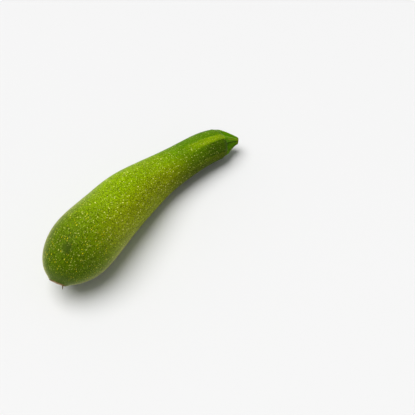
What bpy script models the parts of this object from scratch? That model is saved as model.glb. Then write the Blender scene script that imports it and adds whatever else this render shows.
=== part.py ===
"""A green zucchini with its cut stem, lying on its side as picked. Metres, +Z up.

The fruit's axis runs roughly along X, from the blossom end at -X to the stem at +X. The origin is under the
middle of the whole zucchini, on the surface that it lies on.
"""

import math

import bmesh
import bpy
import numpy as np
from mathutils import Matrix, Vector

# The fruit, measured along its own axis from the blossom end to the shoulder that the stem grows from.
FRUIT_LENGTH = 0.228
BELLY_RADIUS = 0.029
BELLY_PLACE = 0.043
BELLY_FULLNESS = 2.1  # 2 is an ellipse, more is blunter
FLANK = (
    (BELLY_PLACE, BELLY_RADIUS),
    (0.073, 0.0278),
    (0.107, 0.0255),
    (0.143, 0.0207),
    (0.179, 0.0185),
    (0.219, 0.0160),
)

# The way the axis heads, in degrees to the left of +X, at distances along it.
HEADINGS = (
    (0.0, 17.0),
    (BELLY_PLACE, 12.0),
    (0.077, 10.0),
    (0.107, 6.0),
    (0.143, -1.0),
    (0.179, -8.0),
    (0.211, -15.0),
    (FRUIT_LENGTH, -20.0),
)

# How the fruit lies: pressed a little flat under its weight, its underside curving up to both ends.
PRESSED_DEPTH = 0.0006
REST_PLACE = 0.094
REST_HALF_LENGTH = 0.052  # where the underside has risen by the pressed depth, and leaves the surface
BLOSSOM_DROOP = 0.0070  # how far the blossom end's centre hangs below a straight axis
SHOULDER_DROOP = 0.0026  # how far the neck's end dips, from the place below on
SHOULDER_DROOP_PLACE = 0.190

# Soft ribs along the neck, each running on into a ridge of the stem, with flatter facets between them.
RIDGES = 5
RIDGE_TURN = math.radians(30.0)  # the angle of the first ridge from the top, towards -Y
RIB_HEIGHT = 0.085  # share of the radius from a facet's middle to a rib, at the shoulder
RIB_FADE = 4.0
RIB_SOFTNESS = 0.22
SHOULDER_HEIGHT = 0.0075

# Slow unevenness of a grown thing: waves along, waves around, phase and height of each.
UNEVENNESS = ((1.5, 1, 0.6, 0.00035), (2.5, 2, 2.1, 0.00030), (4.0, 3, 4.0, 0.00018))

# The stem, a ridged stalk that narrows to a cut end and curves the way the neck does.
STEM_LENGTH = 0.0178
STEM_BASE_RADIUS = 0.0142  # to the ridges' crests
STEM_TIP_RADIUS = 0.0035
STEM_FLARE = 1.0  # 1 is a straight taper, more is narrower above a flared foot
STEM_GROOVE_BASE = 0.42  # share of the radius
STEM_GROOVE_TIP = 0.26
STEM_RIDGE_SHARPNESS = 1.6
STEM_BEND = math.radians(21.0)  # towards -Y
STEM_CUT_TILT = math.radians(9.0)
STEM_CUT_DISH = 0.0004
STEM_DISH_RADIUS = 0.55  # share of the cut's radius
STEM_RIM_ROUNDING = 0.0005

# The corky scar where the blossom dropped off, with the stub of its style and a wisp of the dried blossom.
SCAR_RADIUS = 0.0074
SCAR_HEIGHT = 0.0007
SCAR_RIM_HEIGHT = 0.0004
SCAR_LOBES = 5
SCAR_LOBE_DEPTH = 0.06  # share of the radius
STYLE_RADIUS = 0.0016
STYLE_HEIGHT = 0.0009
WISP_LENGTH = 0.0032
WISP_RADIUS = 0.0008
WISP_TIP = 0.25  # share of its radius
WISP_TURN = math.radians(-75.0)
WISP_PLACE = 0.86  # share of the scar's radius
WISP_ROOT = 0.4  # share of the scar's height that it starts at
WISP_CURL = 0.35  # share of its length that its tip leans outwards
WISP_POINTS = 6

JOIN_GAP = 0.0003  # between the fruit and what is set on it

# How finely the surfaces are divided.
FRUIT_SIDES = 60
DOME_RINGS = 18
FLANK_RINGS = 27
SHOULDER_RINGS = 9
STEM_SIDES = 60
STEM_RINGS = 12
SCAR_SIDES = 40
AXIS_STEP = 0.0005
CREASE_ANGLE = math.radians(35)

SKIN_GREEN = (0.19, 0.27, 0.012, 1.0)
STEM_GREEN = (0.16, 0.28, 0.02, 1.0)
CORK_TAN = (0.42, 0.27, 0.12, 1.0)


def clear_scene():
    for thing in list(bpy.data.objects):
        bpy.data.objects.remove(thing)


def material(name, colour, roughness):
    finish = bpy.data.materials.new(name)
    finish.use_nodes = True
    shader = finish.node_tree.nodes["Principled BSDF"]
    shader.inputs["Base Color"].default_value = colour
    shader.inputs["Roughness"].default_value = roughness
    shader.inputs["Metallic"].default_value = 0.0
    finish.diffuse_color = colour
    return finish


def smooth_curve(points, start_slope=None):
    """A cubic spline through (place, value) points, natural at its ends unless a start slope is given."""
    place, value = np.array(points, float).T
    gap = np.diff(place)
    rise = np.diff(value) / gap
    last = len(place) - 1
    system = np.eye(last + 1)
    target = np.zeros(last + 1)
    if start_slope is not None:
        system[0, :2] = 2 * gap[0], gap[0]
        target[0] = 6 * (rise[0] - start_slope)
    for i in range(1, last):
        system[i, i - 1 : i + 2] = gap[i - 1], 2 * (gap[i - 1] + gap[i]), gap[i]
        target[i] = 6 * (rise[i] - rise[i - 1])
    bend = np.linalg.solve(system, target)

    def at(where):
        i = int(np.clip(np.searchsorted(place, where) - 1, 0, last - 1))
        after = (where - place[i]) / gap[i]
        before = 1 - after
        straight = before * value[i] + after * value[i + 1]
        bowed = ((before**3 - before) * bend[i] + (after**3 - after) * bend[i + 1]) * gap[i] ** 2 / 6
        return float(straight + bowed)

    return at


flank_radius = smooth_curve(FLANK, start_slope=0.0)
heading = smooth_curve(HEADINGS)


def fruit_radius(along):
    """The fruit's plain radius, before its ribs: a blunt dome to the belly, then the flank to the neck."""
    if along >= BELLY_PLACE:
        return flank_radius(along)
    seat = (1 - (SCAR_RADIUS / BELLY_RADIUS) ** BELLY_FULLNESS) ** (1 / BELLY_FULLNESS)
    reach = seat * (BELLY_PLACE - along) / BELLY_PLACE
    return BELLY_RADIUS * (1 - reach**BELLY_FULLNESS) ** (1 / BELLY_FULLNESS)


def axis_height(along):
    """The axis's height, from an underside that curves up gently from where the fruit rests."""
    droop = BLOSSOM_DROOP * max(0.0, 1 - along / BELLY_PLACE) ** 3
    past = max(0.0, along - SHOULDER_DROOP_PLACE) / (FRUIT_LENGTH - SHOULDER_DROOP_PLACE)
    rise = PRESSED_DEPTH * ((along - REST_PLACE) / REST_HALF_LENGTH) ** 2 - SHOULDER_DROOP * past**2
    resting = BELLY_RADIUS if along < BELLY_PLACE else flank_radius(along)
    return resting - PRESSED_DEPTH + rise - droop


def axis_points():
    """Evenly spaced points of the axis, from the blossom end to the shoulder."""
    steps = round(FRUIT_LENGTH / AXIS_STEP)
    x = y = 0.0
    points = [Vector((x, y, axis_height(0.0)))]
    for i in range(steps):
        turn = math.radians(heading((i + 0.5) * AXIS_STEP))
        x += AXIS_STEP * math.cos(turn)
        y += AXIS_STEP * math.sin(turn)
        points.append(Vector((x, y, axis_height((i + 1) * AXIS_STEP))))
    return points


AXIS = axis_points()


def axis_frame(along):
    """Where the axis is at this distance, its direction, the top of its section and the -Y side of it."""
    place = along / AXIS_STEP
    i = min(int(place), len(AXIS) - 2)
    centre = AXIS[i].lerp(AXIS[i + 1], place - i)
    direction = (AXIS[min(i + 3, len(AXIS) - 1)] - AXIS[max(i - 2, 0)]).normalized()
    side = direction.cross(Vector((0, 0, 1))).normalized()
    return centre, direction, side.cross(direction), side


def ridge_height(angle):
    """1 on a ridge's crest, 0 in the groove between two."""
    return (0.5 + 0.5 * math.cos(RIDGES * (angle - RIDGE_TURN))) ** STEM_RIDGE_SHARPNESS


def rib_height(angle):
    """The neck's ribs, one in line with each ridge: above 0 along it, below 0 on the facet between two."""
    fall = math.sqrt(math.sin(RIDGES / 2 * (angle - RIDGE_TURN)) ** 2 + RIB_SOFTNESS**2)
    return 2 / math.pi - fall


def stem_section(angle, groove):
    """Share of the crest radius at this angle: rounded ridges with hollow grooves between them."""
    return 1 - groove * (1 - ridge_height(angle))


def fruit_section(angle, along):
    """The fruit's radius at this angle: round at the belly, ribbed at the neck, stem-shaped at its end."""
    share = along / FRUIT_LENGTH
    radius = fruit_radius(along) * (1 + RIB_HEIGHT * share**RIB_FADE * rib_height(angle))
    inland = math.sin(math.pi * share) ** 0.5
    for waves_along, waves_around, phase, height in UNEVENNESS:
        wave = math.sin(2 * math.pi * waves_along * share + phase) * math.cos(waves_around * angle - phase)
        radius += height * inland * wave
    into = (along - (FRUIT_LENGTH - SHOULDER_HEIGHT)) / SHOULDER_HEIGHT
    if into > 0:
        end = STEM_BASE_RADIUS * stem_section(angle, STEM_GROOVE_BASE)
        flowing = ridge_height(angle)
        rounded = math.sqrt(max(0.0, 1 - into**2))
        radius = end + (radius - end) * (flowing * (1 - into) + (1 - flowing) * rounded)
    return radius


def loft(name, rings, finish):
    """A closed mesh object through rings of points, capped flat at both ends and shaded smooth."""
    shape = bmesh.new()
    loops = [[shape.verts.new(point) for point in ring] for ring in rings]
    sides = len(rings[0])
    for lower, upper in zip(loops, loops[1:]):
        for i in range(sides):
            j = (i + 1) % sides
            shape.faces.new((lower[i], lower[j], upper[j], upper[i]))
    shape.faces.new(loops[0])
    shape.faces.new(loops[-1])
    bmesh.ops.recalc_face_normals(shape, faces=shape.faces)
    mesh = bpy.data.meshes.new(name)
    shape.to_mesh(mesh)
    shape.free()
    return new_object(name, mesh, finish)


def new_object(name, mesh, finish):
    thing = bpy.data.objects.new(name, mesh)
    mesh.materials.append(finish)
    mesh.shade_smooth()
    mesh.set_sharp_from_angle(angle=CREASE_ANGLE)
    collection.objects.link(thing)
    return thing


def ring_places():
    """Distances along the fruit for its rings: closer together in the dome and in the shoulder."""
    shoulder = FRUIT_LENGTH - SHOULDER_HEIGHT
    places = [BELLY_PLACE * (1 - math.cos(math.pi / 2 * i / DOME_RINGS)) for i in range(DOME_RINGS)]
    places += [BELLY_PLACE + (shoulder - BELLY_PLACE) * i / FLANK_RINGS for i in range(FLANK_RINGS)]
    turns = [math.pi / 2 * i / SHOULDER_RINGS for i in range(SHOULDER_RINGS + 1)]
    return places + [shoulder + SHOULDER_HEIGHT * math.sin(turn) for turn in turns]


def make_fruit(finish):
    rings = []
    for along in ring_places():
        centre, _, top, side = axis_frame(along)
        ring = []
        for i in range(FRUIT_SIDES):
            angle = RIDGE_TURN + 2 * math.pi * i / FRUIT_SIDES
            outward = math.cos(angle) * top + math.sin(angle) * side
            ring.append(centre + fruit_section(angle, along) * outward)
        rings.append(ring)
    fruit = loft("fruit", rings, finish)
    press_flat(fruit)
    return fruit


def press_flat(thing):
    """Cuts the object off at the surface that it lies on, which leaves its small flat spot."""
    shape = bmesh.new()
    shape.from_mesh(thing.data)
    everything = shape.verts[:] + shape.edges[:] + shape.faces[:]
    bmesh.ops.bisect_plane(shape, geom=everything, plane_co=(0, 0, 0), plane_no=(0, 0, -1), clear_outer=True)
    rim = [edge for edge in shape.edges if edge.is_boundary]
    bmesh.ops.holes_fill(shape, edges=rim)
    bmesh.ops.recalc_face_normals(shape, faces=shape.faces)
    shape.to_mesh(thing.data)
    shape.free()


def stem_ring(up, scale=1.0, sink=0.0):
    """A ring of the stem about its own +Z, bent sideways and leaning into the slanted cut at the tip."""
    share = up / STEM_LENGTH
    groove = STEM_GROOVE_BASE + (STEM_GROOVE_TIP - STEM_GROOVE_BASE) * share
    bend = STEM_BEND * share
    lean = bend + STEM_CUT_TILT * share**3
    taper = (1 - share) ** STEM_FLARE
    radius = (STEM_TIP_RADIUS + (STEM_BASE_RADIUS - STEM_TIP_RADIUS) * taper) * scale
    centre = Vector((0, math.sin(bend / 2) * up, math.cos(bend / 2) * up - sink))
    turned = Matrix.Rotation(-lean, 3, "X")
    ring = []
    for i in range(STEM_SIDES):
        angle = RIDGE_TURN + 2 * math.pi * i / STEM_SIDES
        reach = radius * stem_section(angle, groove)
        ring.append(centre + turned @ Vector((reach * math.cos(angle), reach * math.sin(angle), 0)))
    return ring


def make_stem(finish):
    """The stem, which stands on its own +Z, set on the shoulder with its ridges in line with the ribs."""
    rings = [stem_ring(STEM_LENGTH * i / STEM_RINGS) for i in range(STEM_RINGS)]
    rings.append(stem_ring(STEM_LENGTH - STEM_RIM_ROUNDING))
    rings.append(stem_ring(STEM_LENGTH, scale=1 - STEM_RIM_ROUNDING / STEM_TIP_RADIUS))
    rings.append(stem_ring(STEM_LENGTH, scale=STEM_DISH_RADIUS, sink=STEM_CUT_DISH))
    stem = loft("stem", rings, finish)
    set_on_axis(stem, FRUIT_LENGTH, JOIN_GAP, outward=1)
    return stem


def set_on_axis(thing, along, gap, outward):
    """Places an object that stands on its own +Z at this point of the axis, its +X up the section."""
    centre, direction, top, side = axis_frame(along)
    up = direction * outward
    across = up.cross(top)
    thing.matrix_world = Matrix(
        (
            (top.x, across.x, up.x, centre.x + up.x * gap),
            (top.y, across.y, up.y, centre.y + up.y * gap),
            (top.z, across.z, up.z, centre.z + up.z * gap),
            (0, 0, 0, 1),
        )
    )


def make_blossom_scar(finish):
    """A thin corky button with a raised, faintly lobed rim, a style stub and one dried wisp."""
    full = SCAR_HEIGHT + SCAR_RIM_HEIGHT
    style = STYLE_RADIUS / SCAR_RADIUS
    # Each point of the profile is a share of the scar's radius and a height.
    profile = (
        (1.00, 0.0),
        (1.00, SCAR_HEIGHT * 0.75),
        (0.95, full * 0.95),
        (0.88, full),
        (0.80, full * 0.92),
        (0.70, SCAR_HEIGHT),
        (0.45, SCAR_HEIGHT * 0.92),
        (style * 1.15, SCAR_HEIGHT),
        (style, SCAR_HEIGHT + STYLE_HEIGHT * 0.8),
        (style * 0.6, SCAR_HEIGHT + STYLE_HEIGHT),
    )
    rings = []
    for share, height in profile:
        ring = []
        for i in range(SCAR_SIDES):
            angle = 2 * math.pi * i / SCAR_SIDES
            lobe = 1 - SCAR_LOBE_DEPTH * share**3 * (0.5 - 0.5 * math.cos(SCAR_LOBES * angle))
            reach = SCAR_RADIUS * share * lobe
            ring.append(Vector((reach * math.cos(angle), reach * math.sin(angle), height)))
        rings.append(ring)
    scar = loft("blossom_scar", rings, finish)
    fuse(scar, make_wisp(finish))
    set_on_axis(scar, 0.0, JOIN_GAP, outward=-1)
    return scar


def make_wisp(finish):
    """A small curled spike of dried blossom, thick at its foot, which stands in the scar's rim."""
    curve = bpy.data.curves.new("wisp", "CURVE")
    curve.dimensions = "3D"
    curve.bevel_depth = WISP_RADIUS
    curve.bevel_resolution = 1
    curve.use_fill_caps = True
    outward = Vector((math.cos(WISP_TURN), math.sin(WISP_TURN), 0))
    spline = curve.splines.new("POLY")
    spline.points.add(WISP_POINTS - 1)
    for i, point in enumerate(spline.points):
        share = i / (WISP_POINTS - 1)
        place = outward * (SCAR_RADIUS * WISP_PLACE + WISP_LENGTH * WISP_CURL * share**2)
        place.z = SCAR_HEIGHT * WISP_ROOT + WISP_LENGTH * share
        point.co = (*place, 1)
        point.radius = 1 - (1 - WISP_TIP) * share
    drawn = bpy.data.objects.new("wisp_curve", curve)
    collection.objects.link(drawn)
    bpy.context.view_layer.update()
    mesh = bpy.data.meshes.new_from_object(drawn.evaluated_get(bpy.context.evaluated_depsgraph_get()))
    bpy.data.objects.remove(drawn)
    shape = bmesh.new()
    shape.from_mesh(mesh)
    bmesh.ops.remove_doubles(shape, verts=shape.verts, dist=1e-6)
    bmesh.ops.recalc_face_normals(shape, faces=shape.faces)
    shape.to_mesh(mesh)
    shape.free()
    return new_object("wisp", mesh, finish)


def fuse(thing, other):
    """Joins another closed object into this one, and removes it."""
    union = thing.modifiers.new("fuse", "BOOLEAN")
    union.operation = "UNION"
    union.object = other
    bpy.context.view_layer.update()
    joined = bpy.data.meshes.new_from_object(thing.evaluated_get(bpy.context.evaluated_depsgraph_get()))
    thing.modifiers.clear()
    thing.data = joined
    bpy.data.objects.remove(other)


def stand_over_origin(parts):
    """Parents the parts to one empty and moves it, so that the origin is under the middle of them all."""
    root = bpy.data.objects.new("zucchini", None)
    collection.objects.link(root)
    bpy.context.view_layer.update()
    corners = [part.matrix_world @ vertex.co for part in parts for vertex in part.data.vertices]
    low = Vector(min(corner[i] for corner in corners) for i in range(3))
    high = Vector(max(corner[i] for corner in corners) for i in range(3))
    for part in parts:
        part.parent = root
    root.location = (-(low.x + high.x) / 2, -(low.y + high.y) / 2, -low.z)
    bpy.context.view_layer.update()


clear_scene()
collection = bpy.data.collections.new("zucchini")
bpy.context.scene.collection.children.link(collection)

fruit = make_fruit(material("skin", SKIN_GREEN, 0.38))
stem = make_stem(material("stem", STEM_GREEN, 0.55))
blossom_scar = make_blossom_scar(material("cork", CORK_TAN, 0.85))
stand_over_origin([fruit, stem, blossom_scar])
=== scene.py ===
"""The looks of a green zucchini that lies on its side, with its cut stem and blossom scar. Metres, +Z up.

The skin, the stem and the scar are each grown by a Geometry Nodes tree around a spine of stations. A
station is one ring's centre, with the direction that the ring faces, its top, its radius and what else
varies there. Turns about the fruit's axis are measured from its top, towards -Y.
"""

import math

import bmesh
import bpy
import numpy as np
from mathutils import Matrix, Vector


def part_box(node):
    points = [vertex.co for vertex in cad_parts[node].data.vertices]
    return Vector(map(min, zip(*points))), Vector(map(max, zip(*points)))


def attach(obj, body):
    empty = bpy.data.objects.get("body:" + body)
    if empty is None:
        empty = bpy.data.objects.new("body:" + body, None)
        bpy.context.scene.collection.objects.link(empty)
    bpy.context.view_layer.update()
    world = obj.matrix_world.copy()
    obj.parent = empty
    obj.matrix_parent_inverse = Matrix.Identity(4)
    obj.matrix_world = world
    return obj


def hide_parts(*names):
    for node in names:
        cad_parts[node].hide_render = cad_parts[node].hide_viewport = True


# The fruit, measured along its own axis from the blossom end to the shoulder that the stem grows from.
FRUIT_LENGTH = 0.228
BELLY_RADIUS = 0.029
BELLY_PLACE = 0.043
BELLY_FULLNESS = 2.1  # 2 is an ellipse, more is blunter
FLANK = (
    (BELLY_PLACE, BELLY_RADIUS),
    (0.073, 0.0278),
    (0.107, 0.0255),
    (0.143, 0.0207),
    (0.179, 0.0185),
    (0.219, 0.0160),
)

# The way the axis heads, in degrees to the left of +X, at distances along it.
HEADINGS = (
    (0.0, 17.0),
    (BELLY_PLACE, 12.0),
    (0.077, 10.0),
    (0.107, 6.0),
    (0.143, -1.0),
    (0.179, -8.0),
    (0.211, -15.0),
    (FRUIT_LENGTH, -20.0),
)

# How the fruit lies: pressed a little flat under its weight, its underside curving up to both ends.
PRESSED_DEPTH = 0.0006
REST_PLACE = 0.094
REST_HALF_LENGTH = 0.052
BLOSSOM_DROOP = 0.0070
SHOULDER_DROOP = 0.0026
SHOULDER_DROOP_PLACE = 0.190

# Soft ribs along the neck, each running on into a ridge of the stem, with flatter facets between them.
RIDGES = 5
RIDGE_TURN = math.radians(30.0)  # of the first ridge
RIB_HEIGHT = 0.085  # share of the radius from a facet's middle to a rib, at the shoulder
RIB_FADE = 4.0
RIB_SOFTNESS = 0.22
SHOULDER_HEIGHT = 0.0075

# Slow unevenness of a grown thing: waves along, waves around, phase and height of each.
UNEVENNESS = ((1.5, 1, 0.6, 0.00035), (2.5, 2, 2.1, 0.00030), (4.0, 3, 4.0, 0.00018))

# Low relief of the skin.
SWELL_SPACING = 0.016
SWELL_HEIGHT = 0.00030
PITTING_SPACING = 0.0042
PITTING_HEIGHT = 0.00009
FLUTE_HEIGHT = 0.00008
FLUTE_COUNT = 20
BAND_TURN = math.radians(20.0)  # the middle of the pale band along the first rib, on the rib's upper side
BAND_TAPER = 1.1  # how fast the facets beside the bands narrow away from the shoulder
BAND_WOBBLE = 0.12
FACET_DEPTH = 0.00025  # the step down from a rib's side to the facet beside it, at the shoulder
DENT_PLACE = 0.0187  # along the fruit
DENT_TURN = math.radians(12.0)
DENT_RADIUS = 0.0058
DENT_DEPTH = 0.00035
WAIST_DEPTH = 0.0012  # of the shallow hollow along the neck's far side, where it is slimmest
WAIST_TURN = math.radians(-56.0)
COLLAR_HEIGHT = 0.0009  # of the skin round the scar
COLLAR_WIDTH = 0.0015
FOOT_LENGTH = 0.0042  # how far the stem's ridges run down onto the shoulder
FOOT_HEIGHT = 0.00015
FOOT_RAGGEDNESS = 0.0012
FOOT_RAG_SPACING = 0.0016

# The stem, a ridged stalk that narrows to a cut end and curves the way the neck does.
STEM_LENGTH = 0.0178
STEM_BASE_RADIUS = 0.0142
STEM_TIP_RADIUS = 0.0035
STEM_GROOVE_BASE = 0.42
STEM_GROOVE_TIP = 0.26
STEM_RIDGE_SHARPNESS = 1.6
STEM_BEND = math.radians(21.0)
STEM_CUT_TILT = math.radians(9.0)
STEM_CUT_DISH = 0.0004
STEM_RIM_ROUNDING = 0.0005
STEM_ROOT = 0.0009  # how deep it starts inside the fruit
STEM_FIBRE_HEIGHT = 0.00016
STEM_FIBRE_SPACING = 0.0009
STEM_FIBRE_SQUEEZE = 0.12  # lengthwise, which draws the fibres out along the stem
STEM_KNOT_SPACING = 0.0035
STEM_CUT_ROUGHNESS = 0.00012
FOLD_TURN = 2.3  # radians of a ridge's wave from its crest to the fold under it, where painted shade goes
BRISTLE_LENGTH = 0.0007
BRISTLE_LENGTHS = (0.5, 1.25)  # the least and the most, as shares of that length
BRISTLE_RADIUS = 0.00007
BRISTLE_TIP = 0.25  # share of that radius
BRISTLE_SIDES = 5
BRISTLE_LEAN = 0.7  # radians either way
BRISTLE_SPIN = 3.1  # radians either way
BRISTLE_SEED = 11
BRISTLES_PER_AREA = 450000.0  # for each square metre
BRISTLES_FROM = 0.02  # share of the way up the stem

# The corky scar where the blossom dropped off, with its style stub and a wisp of the dried blossom.
SCAR_RADIUS = 0.0074
SCAR_HEIGHT = 0.0007
SCAR_RIM_HEIGHT = 0.0004
SCAR_LOBES = 5
SCAR_LOBE_DEPTH = 0.06
SCAR_ROOT = 0.0006
SCAR_FIBRE_HEIGHT = 0.00014
SCAR_FIBRE_SPACING = 0.075  # as a share of the scar's radius, as the next is
SCAR_CRUMB_SPACING = 0.09
STYLE_RADIUS = 0.0016
STYLE_HEIGHT = 0.0009
WISP_LENGTH = 0.0040
WISP_RADIUS = 0.0008
WISP_TIP = 0.25
WISP_TURN = math.radians(-75.0)
WISP_PLACE = 0.86
WISP_ROOT = 0.4
WISP_CURL = 0.35
WISP_WRINKLES = 4
WISP_WRINKLE_DEPTH = 0.22

JOIN_GAP = 0.0003
AXIS_STEP = 0.0005
NO_LENGTH = 1e-7
WELD_LENGTH = 2e-6

# How finely the surfaces are divided.
SKIN_SIDES = 300
DOME_RINGS = 62
FLANK_RINGS = 200
SHOULDER_RINGS = 34
CAP_RINGS = 6
STEM_SIDES = 160
STEM_RINGS = 60
STEM_RIM_RINGS = 4
STEM_CUT_RINGS = 14
SCAR_SIDES = 150
WISP_SIDES = 12
WISP_RINGS = 14

# Which way the skin's marks look: sides of the fruit as directions in its section, the top being +X.
UPPER_SIDE = (0.98, 0.17, 0.0)
# The top, where painted light lightens the flank and the facets' dark green.
PAINTED_LIGHT_TOP_SIDE = (1.0, -0.10, 0.0)
# The side under the neck, darkened as painted shade.
SHADED_UNDER_SIDE = (-0.87, 0.50, 0.0)
# The side tinted olive as painted light, standing in for yellow light bounced onto it.
BOUNCED_LIGHT_TURN = math.radians(88.0)
PAINTED_SHEEN_TURN = math.radians(207.5)  # the side painted paler about the belly: a painted sheen, for the surround's pale reflection there

# The skin's colours, in linear light.
BLOSSOM_END_GREEN = (0.072, 0.128, 0.0008)
FLANK_GREEN = (0.202, 0.318, 0.0010)
NECK_GREEN = (0.098, 0.212, 0.0010)
# Olive on one side: painted light, bounced yellow light.
BOUNCED_LIGHT_OLIVE = (0.240, 0.275, 0.0010)
# Painted shade under the neck.
UNDER_SHADE_GREEN = (0.055, 0.070, 0.0008)
# A paler painted sheen on the belly's far side.
PAINTED_SHEEN_PALE = (0.225, 0.265, 0.070)
BAND_GREEN = (0.220, 0.320, 0.002)
FACET_GREEN = (0.042, 0.088, 0.0010)
# Painted shade in the crease along each facet's edge.
FACET_EDGE_SHADE_GREEN = (0.022, 0.052, 0.0008)
# Painted shade in the seam round the stem's root.
SEAM_SHADE_GREEN = (0.016, 0.040, 0.0008)
SPECK_CREAM = (1.0, 1.0, 0.24)
DASH_GOLD = (0.80, 0.66, 0.01)
# The darker patch in the dent.
DENT_DARK_GREEN = (0.034, 0.062, 0.003)
BLOOM_GREY = (0.074, 0.118, 0.020)
WAX_TINT = (1.0, 0.97, 0.50, 1.0)

# The stem's and the scar's colours.
# Darker in the grooves: partly the stem's own green, partly painted shade.
STALK_GROOVE_AND_SHADE_GREEN = (0.078, 0.205, 0.001)
STALK_RIDGE_GREEN = (0.108, 0.270, 0.001)
# Lines beside each crest: partly the stem's own pale lines, partly painted highlight.
STALK_LINE_AND_HIGHLIGHT_YELLOW = (0.330, 0.420, 0.005)
# Painted shade under the stem.
STALK_UNDER_SHADE_GREEN = (0.022, 0.055, 0.001)
# Painted shade in the fold under each ridge.
STALK_FOLD_SHADE_GREEN = (0.026, 0.060, 0.001)
STALK_DOT_YELLOW = (0.46, 0.58, 0.01)
STALK_DRIED_BROWN = (0.22, 0.18, 0.015)
PITH_CREAM = (0.52, 0.58, 0.26)
VESSEL_GREEN = (0.14, 0.20, 0.04)
CUT_EDGE_BROWN = (0.20, 0.15, 0.05)
BRISTLE_GREENS = ((0.12, 0.22, 0.002), (0.26, 0.38, 0.010))
CORK_MIDDLE_TAN = (0.52, 0.38, 0.20)
CORK_TAN = (0.42, 0.27, 0.12)
CORK_RIM_BROWN = (0.165, 0.110, 0.034)
WISP_BROWN = (0.13, 0.07, 0.025)

# The photograph's view: where the camera aims, how far it stands off and the way that it faces.
CAMERA_AIM = Vector((0.0384, -0.0413, 0.0))
CAMERA_DISTANCE = 0.557
CAMERA_AZIMUTH = math.radians(-50.05)
CAMERA_ELEVATION = math.radians(48.0)
CAMERA_LENS = 50.0

FLOOR_RADIUS = 6.0
FLOOR_WHITE = 0.83
KEY_FROM = (-0.18, 0.26, 1.0)
KEY_WIDTH = math.radians(54.0)
KEY_POWER = 2.9
SURROUND_LOW = 0.46
SURROUND_HIGH = 0.20
SURROUND_SEEN = 0.93


# Node trees, written as formulas
class Field:
    """A value in a node tree. Python's signs on it add the maths nodes that work the result out."""

    def __init__(self, nodes, socket):
        self.nodes = nodes
        self.socket = socket

    def __add__(self, other):
        return self.nodes.maths("ADD", self, other)

    def __sub__(self, other):
        return self.nodes.maths("SUBTRACT", self, other)

    def __mul__(self, other):
        return self.nodes.maths("MULTIPLY", self, other)

    def __truediv__(self, other):
        return self.nodes.maths("DIVIDE", self, other)

    def __radd__(self, other):
        return self.nodes.maths("ADD", other, self)

    def __rsub__(self, other):
        return self.nodes.maths("SUBTRACT", other, self)

    def __rmul__(self, other):
        return self.nodes.maths("MULTIPLY", other, self)

    def __rtruediv__(self, other):
        return self.nodes.maths("DIVIDE", other, self)


def is_vector(value):
    if isinstance(value, Field):
        return value.socket.type in ("VECTOR", "RGBA")
    return isinstance(value, (tuple, Vector))


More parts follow.
